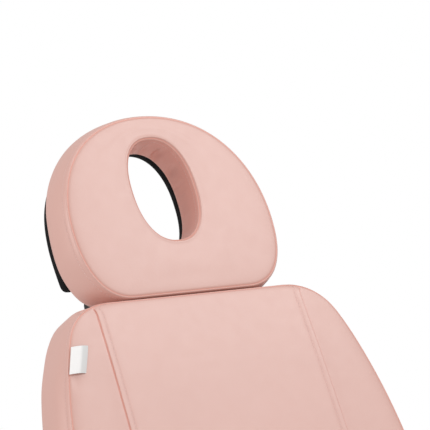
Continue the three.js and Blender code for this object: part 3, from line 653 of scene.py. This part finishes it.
def head_flare(points, depth, spread=HEAD_SPREAD):
    """The headrest's back is larger than its face: the boxing leans out, mostly at the top."""
    share = depth / HEAD_FOAM
    up = HEAD_FLARE * share * smoothstep(points[:, 1], 60, 300)
    low = smoothstep(points[:, 1], -12, 25) * (1 - smoothstep(points[:, 1], 150, 290))
    aside = np.sign(points[:, 0]) * smoothstep(np.abs(points[:, 0]), 90, 160)
    return points + np.stack([spread * share * low * aside, up], axis=1)


def head_pad_flare(points, depth):
    """The cover bulges past the board low down at the sides."""
    extra = 4.5 * (1 - smoothstep(points[:, 1], 60, 150))
    return head_flare(points, depth, HEAD_SPREAD + extra)


# ---- Upholstered sections: sewing, inflating, finishing --------------------------------
SIM_FRAMES = 20


def cloth_copy(name, pad, points):
    """A cloth body of the pad, held at its seams and where it meets its board."""
    body = new_object(name + "_cloth", points, pad.faces, PINK)
    group = body.vertex_groups.new(name="held")
    for number, weight in enumerate(np.concatenate(pad.pinned)):
        if weight > 0:
            group.add([number], float(weight), "REPLACE")
    cloth = body.modifiers.new("cloth", "CLOTH").settings
    cloth.quality = 6
    cloth.mass = 0.4
    cloth.tension_stiffness = cloth.compression_stiffness = 25
    cloth.shear_stiffness = 12
    cloth.bending_stiffness = 2
    cloth.use_pressure = True
    cloth.uniform_pressure_force = 4
    cloth.vertex_group_mass = "held"
    cloth.pin_stiffness = 1
    cloth.effector_weights.gravity = 0
    return body


def relaxed(moved, pad, rounds):
    """Evens out a movement over neighbouring points; held points keep theirs."""
    ends = np.array([(f[i], f[i - 1]) for f in pad.faces for i in range(len(f)) if len(f) < 9])
    free = (1 - np.concatenate(pad.pinned))[:, None]
    count = np.bincount(ends.ravel(), minlength=len(moved))[:, None]
    for _ in range(rounds):
        total = np.zeros_like(moved)
        np.add.at(total, ends[:, 0], moved[ends[:, 1]])
        np.add.at(total, ends[:, 1], moved[ends[:, 0]])
        moved = moved + 0.5 * free * (total / np.maximum(count, 1) - moved)
    return moved


def inflate(jobs):
    """Runs the cloth of every pad at once. Each point may move as far as its pad's limit."""
    bodies = {name: cloth_copy(name, pad, points) for name, pad, points, _ in jobs}
    scene = bpy.context.scene
    scene.frame_start, scene.frame_end = 1, SIM_FRAMES
    for step in range(1, SIM_FRAMES + 1):
        scene.frame_set(step)
    depsgraph = bpy.context.evaluated_depsgraph_get()
    swollen = {}
    for name, pad, points, limit in jobs:
        evaluated = bodies[name].evaluated_get(depsgraph).data
        coords = np.zeros(len(points) * 3)
        evaluated.vertices.foreach_get("co", coords)
        moved = coords.reshape(-1, 3) / MM - points
        length = np.linalg.norm(moved, axis=1)[:, None] + 1e-9
        moved *= limit * np.tanh(length / limit) / length
        swollen[name] = points + relaxed(moved, pad, 60)
        bpy.data.objects.remove(bodies[name])
    scene.frame_set(1)
    return swollen


def sew(pad, points, seam_x=None):
    """Presses the lengthwise seams into the face, and returns how deep in a seam points lie: a mask of painted
    shade that deepens the cover's colour in the seams' grooves.
    """
    seam = np.zeros(len(points))
    face = slice(0, pad.face_count)
    # Painted shade in the groove of the outer seam.
    seam[face] = 0.9 * np.exp(-((pad.gap / 0.7) ** 2))
    if seam_x is not None:
        inside = np.array([seam_x(y) for y in pad.flat_y]) - np.abs(pad.flat_x)
        near, close = smoothstep(pad.gap, 0, 8), smoothstep(pad.gap, -1.0, 1.2)
        step = SEAM_STEP * smoothstep(inside, -0.6, 0.2) * np.exp(-np.maximum(inside, 0) / 26)
        crease = -0.6 * np.exp(-(((inside + 0.8) / 0.8) ** 2))
        row = -0.5 * np.exp(-(((inside - TOP_STITCH) / 1.5) ** 2))
        points[face, 2] += near * (step + row) + close * crease
        # Painted shade on the crease wall of the step between panels and along the centre panel's stitch row.
        wall = smoothstep(inside, -1.7, -0.5) * (1 - smoothstep(inside, 0.0, 0.5))
        seam[face] = np.maximum(seam[face], 0.75 * wall * close)
        seam[face] = np.maximum(seam[face], 0.08 * np.exp(-(((inside - TOP_STITCH) / 1.6) ** 2)))
    return seam


def vertex_values(mesh, field):
    values = np.zeros(len(mesh.vertices) * 3)
    mesh.vertices.foreach_get(field, values)
    return values.reshape(-1, 3)


def finish_pad(name, pad, points, seam, place, body, node):
    """The pad's final mesh, with its stitches, on its body."""
    made = new_object(name, points, pad.faces, PINK, place)
    # The seam attribute paints shade: it deepens the cover's colour in the seams' grooves and down the face hole's
    # wall.
    made.data.attributes.new("seam", "FLOAT", "POINT").data.foreach_set(
        "value", seam.astype(np.float32)
    )
    smoother = made.modifiers.new("smooth", "SUBSURF")
    smoother.levels = smoother.render_levels = 1
    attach(made, body)
    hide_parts(node)
    normals = vertex_values(made.data, "normal")
    coords = vertex_values(made.data, "co") / MM
    parts = []
    for label, row in pad.rows.items():
        closed = not label.startswith("top")
        parts.append(stitch_mesh(coords[row], normals[row], closed))
    points, faces = joined(parts)
    sewn = new_object(name + "_stitches", points, faces, THREAD)
    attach(sewn, body)


def joined(parts):
    points, faces, start = [], [], 0
    for part_points, part_faces in parts:
        points.append(part_points)
        faces += [tuple(i + start for i in face) for face in part_faces]
        start += len(part_points)
    return np.vstack(points), faces


def stitch_mesh(line, normals, closed, pitch=5.2, length=3.6, radius=0.42):
    """A row of thread stitches that dip into the cover at both ends."""
    if closed:
        line, normals = np.vstack([line, line[:1]]), np.vstack([normals, normals[:1]])
    run = np.concatenate([[0], np.cumsum(np.linalg.norm(np.diff(line, axis=0), axis=1))])
    sides = 6
    turn = np.linspace(0, 2 * math.pi, sides, endpoint=False)
    shape = [(-0.5, 0.35, -0.35), (-0.3, 1.0, 0.15), (0.3, 1.0, 0.15), (0.5, 0.35, -0.35)]
    points, faces = [], []
    for centre in np.arange(pitch, run[-1] - pitch / 2, pitch):
        place = [
            np.array([np.interp(centre + d, run, line[:, k]) for k in range(3)])
            for d in (-length / 2, 0, length / 2)
        ]
        along = place[2] - place[0]
        along /= np.linalg.norm(along)
        up = np.array([np.interp(centre, run, normals[:, k]) for k in range(3)])
        up -= along * (up @ along)
        up /= np.linalg.norm(up)
        side = np.cross(along, up)
        start = len(points)
        for share, size, rise in shape:
            middle = place[1] + along * share * length + up * rise
            for angle in turn:
                offset = up * math.sin(angle) + side * math.cos(angle)
                points.append(middle + offset * radius * size)
        for ring in range(len(shape) - 1):
            first = list(range(start + ring * sides, start + (ring + 1) * sides))
            faces += bridge(first, [i + sides for i in first])
        faces.append(tuple(range(start + sides - 1, start - 1, -1)))
        faces.append(tuple(range(start + 3 * sides, start + 4 * sides)))
    return np.array(points), faces


def wrapped_round_hinge(points):
    """Rounds the backrest's lower end about its hinge, inside the CAD solid's radius."""
    y, z = points[:, 1], points[:, 2]
    reach = np.hypot(y, z)
    excess = np.where((y < 0) & (z > -15), np.maximum(reach - BACK_FACE, 0), 0)
    factor = 1 - excess / np.maximum(reach, 1)
    return np.column_stack([points[:, 0], y * factor, z * factor])


def held_below(values, limit):
    """Values eased down to stay under a limit, and left alone well below it."""
    slack = 2.0
    over = np.maximum(values - (limit - slack), 0)
    return np.where(over > 0, limit - slack + slack * np.tanh(over / slack), values)


# The pads' facing ends stay this near to their CAD solids: (towards the head or foot, limit).
CLEARANCES = {
    "seat_pad": [(1, SEAT_REAR + 0.3), (-1, -SEAT_FRONT + 0.3)],
    "leg_pad": [(1, LEG_REAR + 0.3)],
    "backrest_cushion": [(-1, BACK_FACE), (1, BACK_TOP + 2.4)],
    "headrest_pad": [(-1, 3.4)],
}


def kept_clear(name, points):
    """Flattens the boxing where two sections nearly touch in some pose."""
    for way, limit in CLEARANCES.get(name, []):
        points[:, 1] = way * held_below(way * points[:, 1], limit)
    return points


FOLDS_ROUND, FOLD_DEPTH = 19, 6.0


def gathered_wall(pad, points):
    """Soft folds in the wall of the face hole, where the cover is eased round the curve."""
    low, high = pad.wall
    wall = points[low:high]
    rel = wall[:, :2] - np.array(HOLE_CENTRE)
    angle = np.arctan2(rel[:, 1], rel[:, 0])
    depth = BACK_FACE - HEAD_SUNK - wall[:, 2]
    deep = np.clip((depth - STITCH_IN) / (HEAD_FOAM - STITCH_IN), 0, 1)
    share = smoothstep(deep, 0.05, 0.6) * (1 - smoothstep(deep, 0.62, 0.95))
    uneven = 0.75 + 0.25 * np.sin(angle * 7 + 0.6)
    folds = uneven * np.sin(angle * FOLDS_ROUND + 1.6 * np.sin(angle * 4))
    upper = 0.1 + 0.9 * smoothstep(np.sin(angle + 0.1), 0.2, 0.8)
    push = FOLD_DEPTH * np.maximum(folds + 0.25, 0) ** 1.6 * share * upper
    size = np.linalg.norm(rel, axis=1)[:, None]
    wall[:, :2] += rel / size * push[:, None]
    return points


def board_outline():
    """The headrest board: straight down its sides, cut off above the headrest's lower edge."""
    right = np.vstack(
        [
            quadratic((164, 45), (173, 45), (174, 56), 10),
            bezier((174, 56), (176, 90), (175.5, 110), (174, 122), 12),
            bezier((174, 122), (165, 212), (108, 272), (0, 272), 50),
        ]
    )
    left = np.vstack([[(0, 272)], right[:0:-1] * [-1, 1], [(-164, 45)]])
    return resample(np.vstack([right, left]), 240)


def make_headrest_board():
    """A bevelled ring of covered board behind the headrest, with a slightly larger hole."""
    outer = head_flare(board_outline(), HEAD_FOAM)
    inward = -loop_normals(outer)
    x, y = (outer - HOLE_CENTRE).T
    hole = hole_outline(np.arctan2(y, x), np.array(HOLE_HALF) + 3.0)
    sink = loop_normals(hole)
    top = BACK_FACE - HEAD_FOAM - 0.3
    low = top - BOARD + 1
    edge = [(0.0, 1.5), (0.5, 0.4), (1.5, 0.0)]  # (below the surface, in from the side)
    rows = [(outer, inward, inset, top - down) for down, inset in edge]
    rows += [(outer, inward, inset, low + down) for down, inset in edge[::-1]]
    rows += [(hole, sink, inset, low + down) for down, inset in edge]
    rows += [(hole, sink, inset, top - down) for down, inset in edge[::-1]]
    points, faces, count = [], [], len(outer)
    for line, push, amount, z in rows:
        points.append(np.column_stack([line + push * amount, np.full(count, z)]))
    numbers = [list(range(i * count, (i + 1) * count)) for i in range(len(rows))]
    for first, second in zip(numbers, numbers[1:] + numbers[:1]):
        faces += bridge(first, second)
    board = new_object("headrest_backing", np.vstack(points), faces, BACKING, HEAD)
    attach(board, "headrest")
    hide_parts("headrest_board")


def seat_seam(y):
    return SEAT_SEAM_X


def leg_seam(y):
    return np.interp(y, [LEG_FRONT, LEG_REAR], [LEG_TOE_SEAM_X, SEAT_SEAM_X])


def arm_seam(y):
    return ARM_SEAM_X


class Plan:
    """One cushion: its pad, lengthwise seams, frame, body, the CAD node it stands for, and
    how far the cloth may swell."""

    def __init__(self, pad, seam, place, body, node, limit):
        self.pad, self.seam, self.place = pad, seam, place
        self.body, self.node, self.limit = body, node, limit


def backrest_plan():
    pad = grid_pad(
        back_edge(), BACK_FACE, BACK_FOAM, backrest_seam, True, SLIM_TOP, backrest_lean
    )
    return Plan(pad, backrest_seam, BACK, "backrest", "back_cushion", 6.0)


def seat_plan():
    edge = rounded_edge(SEAT_HALF, SEAT_REAR, SEAT_FRONT, 35)
    pad = grid_pad(edge, BACK_FACE, SEAT_FOAM, seat_seam, True)
    return Plan(pad, seat_seam, SEAT, "seat", "seat_cushion", 8.0)


def leg_plan():
    edge = rounded_edge(SEAT_HALF, LEG_REAR, LEG_FRONT, 30, far_half=232, far_corner=80)
    pad = grid_pad(edge, LEG_FACE, LEG_FOAM, leg_seam, True)
    return Plan(pad, leg_seam, LEG, "leg_section", "leg_cushion", 7.0)


def arm_plan(side):
    low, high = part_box(f"armrest_pad_{side}")
    centre = (low + high) / 2
    half, reach, tall = (high - low) / 2 / MM
    pad = grid_pad(rounded_edge(half, reach, -reach, ARM_CORNER), 0, 2 * tall, arm_seam, False)
    place = Matrix.Translation((centre.x, centre.y, high.z))
    return Plan(pad, None, place, f"armrest_{side}", f"armrest_pad_{side}", 5.0)


def headrest_plan():
    face, foam = BACK_FACE - HEAD_SUNK, HEAD_FOAM - HEAD_SUNK
    pad = ring_pad(head_outline(), face, foam, head_pad_flare)
    return Plan(pad, None, HEAD, "headrest", "headrest_cushion", 5.5)


def dent_under_label(pad, points):
    """The cover sinks a little below the label, where its end is sewn in."""
    across, along = pad.flat_x + 253, pad.flat_y - BACK_TOP + 119
    points[: pad.face_count, 2] -= 1.8 * np.exp(-(across**2 / 90 + along**2 / 60))


def make_upholstery():
    plans = {
        "backrest_cushion": backrest_plan(),
        "seat_pad": seat_plan(),
        "leg_pad": leg_plan(),
        "arm_pad_left": arm_plan("left"),
        "arm_pad_right": arm_plan("right"),
        "headrest_pad": headrest_plan(),
    }
    jobs = [(name, p.pad, p.pad.all_points(), p.limit) for name, p in plans.items()]
    shapes = inflate(jobs)
    for name, plan in plans.items():
        pad, points = plan.pad, shapes[name]
        base = pad.all_points()[: pad.face_count]
        pad.flat_x, pad.flat_y = base[:, 0], base[:, 1]
        if name == "headrest_pad":
            points = gathered_wall(pad, points)
        seam = sew(pad, points, plan.seam)
        if name == "headrest_pad":
            low, high = pad.wall
            # Painted shade down the face hole's wall: the seams' deeper colour, more of it further in.
            seam[low:high] = WALL_PAINTED_SHADE * smoothstep(BACK_FACE - points[low:high, 2], 2, 9)
        points = kept_clear(name, points)
        if name == "backrest_cushion":
            dent_under_label(pad, points)
            points = wrapped_round_hinge(points)
        finish_pad(name, pad, points, seam, plan.place, plan.body, plan.node)


make_upholstery()
make_headrest_board()


# ---- Label sewn into the backrest's left seam --------------------------------------------
def make_label():
    """A blank folded tag, 29 x 46 mm, held in the face seam of the left side panel."""
    columns, rows, length, thickness = 12, 8, 29.0, 0.5
    start = np.array((-244.5, BACK_TOP - 64.5))
    end = np.array((-261.5, BACK_TOP - 107.5))
    tilt = math.radians(-2)
    inward = np.array((math.cos(tilt), math.sin(tilt)))
    points, faces = [], []
    for side in (0, 1):
        for i in range(columns + 1):
            for j in range(rows + 1):
                u, v = i / columns, j / rows
                flat = start + (end - start) * v + inward * length * u
                curl = 3.2 * math.sin(math.pi * min(1, u * 0.9)) + u * math.sin(3 * v + 0.5)
                rise = 1.4 + curl + side * thickness * (1 - u**6)
                points.append((*flat, BACK_FACE + rise))
    size = (columns + 1) * (rows + 1)
    for side in (0, 1):
        for i in range(columns):
            for j in range(rows):
                a = side * size + i * (rows + 1) + j
                quad = (a, a + rows + 1, a + rows + 2, a + 1)
                faces.append(quad if side else quad[::-1])
    tag = new_object("label", points, faces, LABEL, BACK)
    # Painted shade: the tag's free end is painted grey for the shade where it turns away.
    share = np.tile(np.repeat(np.arange(columns + 1) / columns, rows + 1), 2)
    fold_shade = tag.data.attributes.new("fold_shade", "FLOAT", "POINT")
    fold_shade.data.foreach_set("value", smoothstep(share, 0.56, 0.62).astype(np.float32))
    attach(tag, "backrest")


make_label()


# ---- CAD nodes: materials, welded and softened edges ------------------------------------
def dress_cad_nodes():
    slots = {row["node"]: row["material_slot"] for row in frame["record"]["subparts"]}
    for name, node in frame["nodes"].items():
        node.data.materials.clear()
        node.data.materials.append(SLOT_MATERIALS[slots[name]])
        if "custom_normal" in node.data.attributes:
            node.data.attributes.remove(node.data.attributes["custom_normal"])
        node.data.polygons.foreach_set("use_smooth", [True] * len(node.data.polygons))
        weld = node.modifiers.new("weld", "WELD")
        weld.merge_threshold = 0.01 * MM
        bevel = node.modifiers.new("bevel", "BEVEL")
        bevel.width = 0.9 * MM
        bevel.segments = 2
        bevel.limit_method = "ANGLE"
        bevel.angle_limit = math.radians(32)
        bevel.harden_normals = True


dress_cad_nodes()


# ---- Fasteners and small fittings ----------------------------------------------------------
LATHE_SIDES = 36
SUNK = 0.3  # fittings reach this far into what they stand on


def lathe(rows):
    """A closed turned shape from (radius, height) rows; a radius may vary round the turn."""
    turn = np.linspace(0, 2 * math.pi, LATHE_SIDES, endpoint=False)
    circle = np.stack([np.cos(turn), np.sin(turn)], axis=1)
    points, faces = [], []
    for radius, height in rows:
        ring = circle * np.broadcast_to(radius, LATHE_SIDES)[:, None]
        points.append(np.column_stack([ring, np.full(LATHE_SIDES, float(height))]))
    numbers = [list(range(i * LATHE_SIDES, (i + 1) * LATHE_SIDES)) for i in range(len(rows))]
    for lower, upper in zip(numbers[:-1], numbers[1:]):
        faces += bridge(lower, upper)
    faces.append(tuple(numbers[0][::-1]))
    faces.append(tuple(numbers[-1]))
    return np.vstack(points), faces


def screw_head(radius, height, washer):
    """A socket head on a washer: chamfered rims and a hexagonal recess."""
    turn = np.linspace(0, 2 * math.pi, LATHE_SIDES, endpoint=False)
    flat = np.cos(math.pi / 6) / np.cos(turn % (math.pi / 3) - math.pi / 6)
    recess = 0.55 * radius * flat
    rows = [(washer, -SUNK), (washer, 1.0), (washer - 0.5, 1.5), (radius + 0.2, 1.5)]
    rows += [(radius, 1.7), (radius, height - 0.7), (radius - 0.7, height)]
    rows += [(recess + 0.3, height), (recess, height - 0.4), (recess, 0.45 * height)]
    return lathe(rows)


def hub_cap(radius):
    """A shallow dome."""
    rows = [(radius, -SUNK), (radius, 1.2), (radius - 0.8, 2.2)]
    return lathe(rows + [(radius * 0.7, 3.2), (radius * 0.35, 3.8), (1.0, 4.0)])


def socket_port(radius):
    """A round cable socket: a raised collar round a shallow well with a centre post."""
    well = radius - 2.0
    rows = [(radius, -SUNK), (radius, 2.0), (radius - 0.6, 2.6), (radius - 1.6, 2.6)]
    return lathe(rows + [(well, 2.2), (well, 0.4), (1.8, 0.4), (1.8, 1.6), (1.4, 2.0)])


def on_surface(node_name, place, axis):
    """Where a line along the axis, coming from outside, first meets a CAD node."""
    node = frame["nodes"][node_name]
    inverse = node.matrix_world.inverted()
    start = Vector(place) * MM + axis * 0.5
    hit, point, _, _ = node.ray_cast(inverse @ start, inverse.to_3x3() @ -axis)
    if not hit:
        raise ValueError(f"no surface of {node_name} under {place}")
    return node.matrix_world @ point


def fit(name, shape, host, places, axis, body, finish, probe=(0, 0, 0)):
    """Copies of one shape standing on a CAD node, as one piece riding the node's body.

    finish: its material, and a slot name that is not used. probe: where the host's surface is felt for, from each
    place, so that a cap can cover a bore.
    """
    bpy.context.view_layer.update()
    axis, probe = Vector(axis).normalized(), np.array(probe, float)
    turn = axis.to_track_quat("Z", "Y").to_matrix()
    parts = []
    for place in places:
        spot = np.array(on_surface(host, np.add(place, probe), axis)) / MM - probe
        parts.append((shape[0] @ np.array(turn).T + spot, shape[1]))
    points, faces = joined(parts)
    made = new_object(name, points, faces, finish[0])
    made.data.set_sharp_from_angle(angle=math.radians(32))
    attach(made, body)


def on_section(section, x, run):
    """A point in world millimetres, from x across and the run along a section."""
    return tuple(section @ Vector((x * MM, run * MM, 0)) / MM)


def underside(section):
    return -(section.to_3x3() @ Vector((0, 0, 1)))


def both_sides(half, others):
    """Places at the same distance on the left and right, at each of the other coordinates."""
    return [(x, *other) for x in (-half, half) for other in others]


UP, DOWN, FOOTWARD = (0, 0, 1), (0, 0, -1), (0, -1, 0)
PLATED = (ZINC, "bright_steel")
BLACK_CAP = (BLACK_PLASTIC, "black_plastic")
GREY_CAP = (GREY_PLASTIC, "grey_plastic")


def make_frame_fasteners(bolt, screw):
    """What sits on the middle line: base, top plate, headrest, leg section and boxes."""
    fit("base_plate_bolts", bolt, "column_base_plate",
        both_sides(112, [(-97, 0), (63, 0)]), UP, "base", PLATED)
    fit("top_plate_bolts", bolt, "column_top_plate",
        both_sides(200, [(-80, 450), (47, 450)]), DOWN, "seat", PLATED)
    fit("power_box_screws", screw, "power_box",
        both_sides(60, [(106, 0), (180, 0)]), UP, "base", PLATED)
    fit("headrest_bracket_screws", screw, "headrest_bracket",
        [on_section(BACK, x, 722) for x in (-40, 40)], underside(BACK), "headrest", PLATED)
    fit("leg_board_screws", screw, "leg_board",
        [on_section(LEG, x, run) for x in (-190, 190) for run in (-80, -240, -400)],
        underside(LEG), "leg_section", PLATED)
    fit("control_box_ports", socket_port(8.0), "control_box",
        [(x, 0, 470) for x in (-51, -17, 17, 51)], FOOTWARD, "seat", BLACK_CAP)


def make_side_fasteners(label, side, bolt, screw):
    """What one side carries: plate bolts, pivot and hub caps, and the rails' screws."""
    aside = (side, 0, 0)
    fit(f"side_plate_bolts_{label}", bolt, f"side_plate_{label}",
        [(side * 200, 163, z) for z in (465, 485)], aside, "seat", PLATED)
    pivot = joint_place(f"armrest_{label}_fold") / MM
    fit(f"armrest_pivot_cap_{label}", hub_cap(6.0), f"side_plate_{label}",
        [pivot], aside, "seat", BLACK_CAP)
    hub = joint_place(f"wheel_{label}_spin") / MM
    fit(f"wheel_hub_cap_{label}", hub_cap(8.0), f"transport_wheel_{label}",
        [hub], aside, f"wheel_{label}", GREY_CAP, probe=(0, 0, 10))
    fit(f"back_rail_screws_{label}", screw, f"back_rail_{label}",
        [on_section(BACK, side * 140, run) for run in (120, 300, 480)], underside(BACK),
        "backrest", PLATED)
    fit(f"seat_rail_screws_{label}", screw, f"seat_rail_{label}",
        [(side * 200, y, 450) for y in (-270, 110)], DOWN, "seat", PLATED)


def make_fasteners():
    bolt = screw_head(radius=8.0, height=8.0, washer=11.0)
    screw = screw_head(radius=4.0, height=3.6, washer=6.0)
    make_frame_fasteners(bolt, screw)
    make_side_fasteners("left", -1, bolt, screw)
    make_side_fasteners("right", 1, bolt, screw)


make_fasteners()


# ---- Floor and light ----------------------------------------------------------------------
def make_stage():
    half = 2600
    corners = [(-half, -half, 0), (half, -half, 0), (half, half, 0), (-half, half, 0)]
    paint = moulded_plastic("floor_paint", (0.86, 0.86, 0.86), 0.6)
    floor = new_object("floor", corners, [(0, 1, 2, 3)], paint)
    world = bpy.data.worlds.new("studio")
    world.use_nodes = True
    tree = world.node_tree
    background = tree.nodes["Background"]
    seen = tree.nodes.new("ShaderNodeBackground")
    seen.inputs["Strength"].default_value = 1.0
    seen.inputs["Color"].default_value = (1, 1, 1, 1)
    background.inputs["Color"].default_value = (1.0, 0.98, 0.97, 1)
    background.inputs["Strength"].default_value = 0.60
    path = tree.nodes.new("ShaderNodeLightPath")
    blend = tree.nodes.new("ShaderNodeMixShader")
    tree.links.new(path.outputs["Is Camera Ray"], blend.inputs[0])
    tree.links.new(background.outputs[0], blend.inputs[1])
    tree.links.new(seen.outputs[0], blend.inputs[2])
    tree.links.new(blend.outputs[0], tree.nodes["World Output"].inputs[0])
    bpy.context.scene.world = world


def area_light(name, place, aim, size, power, colour):
    data = bpy.data.lights.new(name, "AREA")
    data.shape = "DISK"
    data.size = size
    data.energy = power
    data.color = colour
    lamp = bpy.data.objects.new(name, data)
    lamp.location = place
    lamp.rotation_euler = (Vector(place) - Vector(aim)).to_track_quat("Z", "Y").to_euler()
    bpy.context.scene.collection.objects.link(lamp)


LIGHTS = [  # name, place and aim in metres, size, watts, colour
    ("key", (2.19, -1.32, 4.14), (0, 0.6, 1.2), 1.9, 50, (1, 1, 1)),
    ("top", (-0.6, 0.9, 3.4), (0, 0.4, 1.0), 1.6, 9, (1, 1, 1)),
    ("low", (-1.2, -2.6, 0.5), (0, 0.6, 1.2), 1.6, 10, (1, 1, 1)),
    ("fill", (-3.2, 1.2, 2.2), (0, 0.3, 0.9), 2.2, 31, (1.0, 0.95, 0.94)),
]

make_stage()
for light in LIGHTS:
    area_light(*light)

bpy.context.scene.view_settings.view_transform = "Standard"
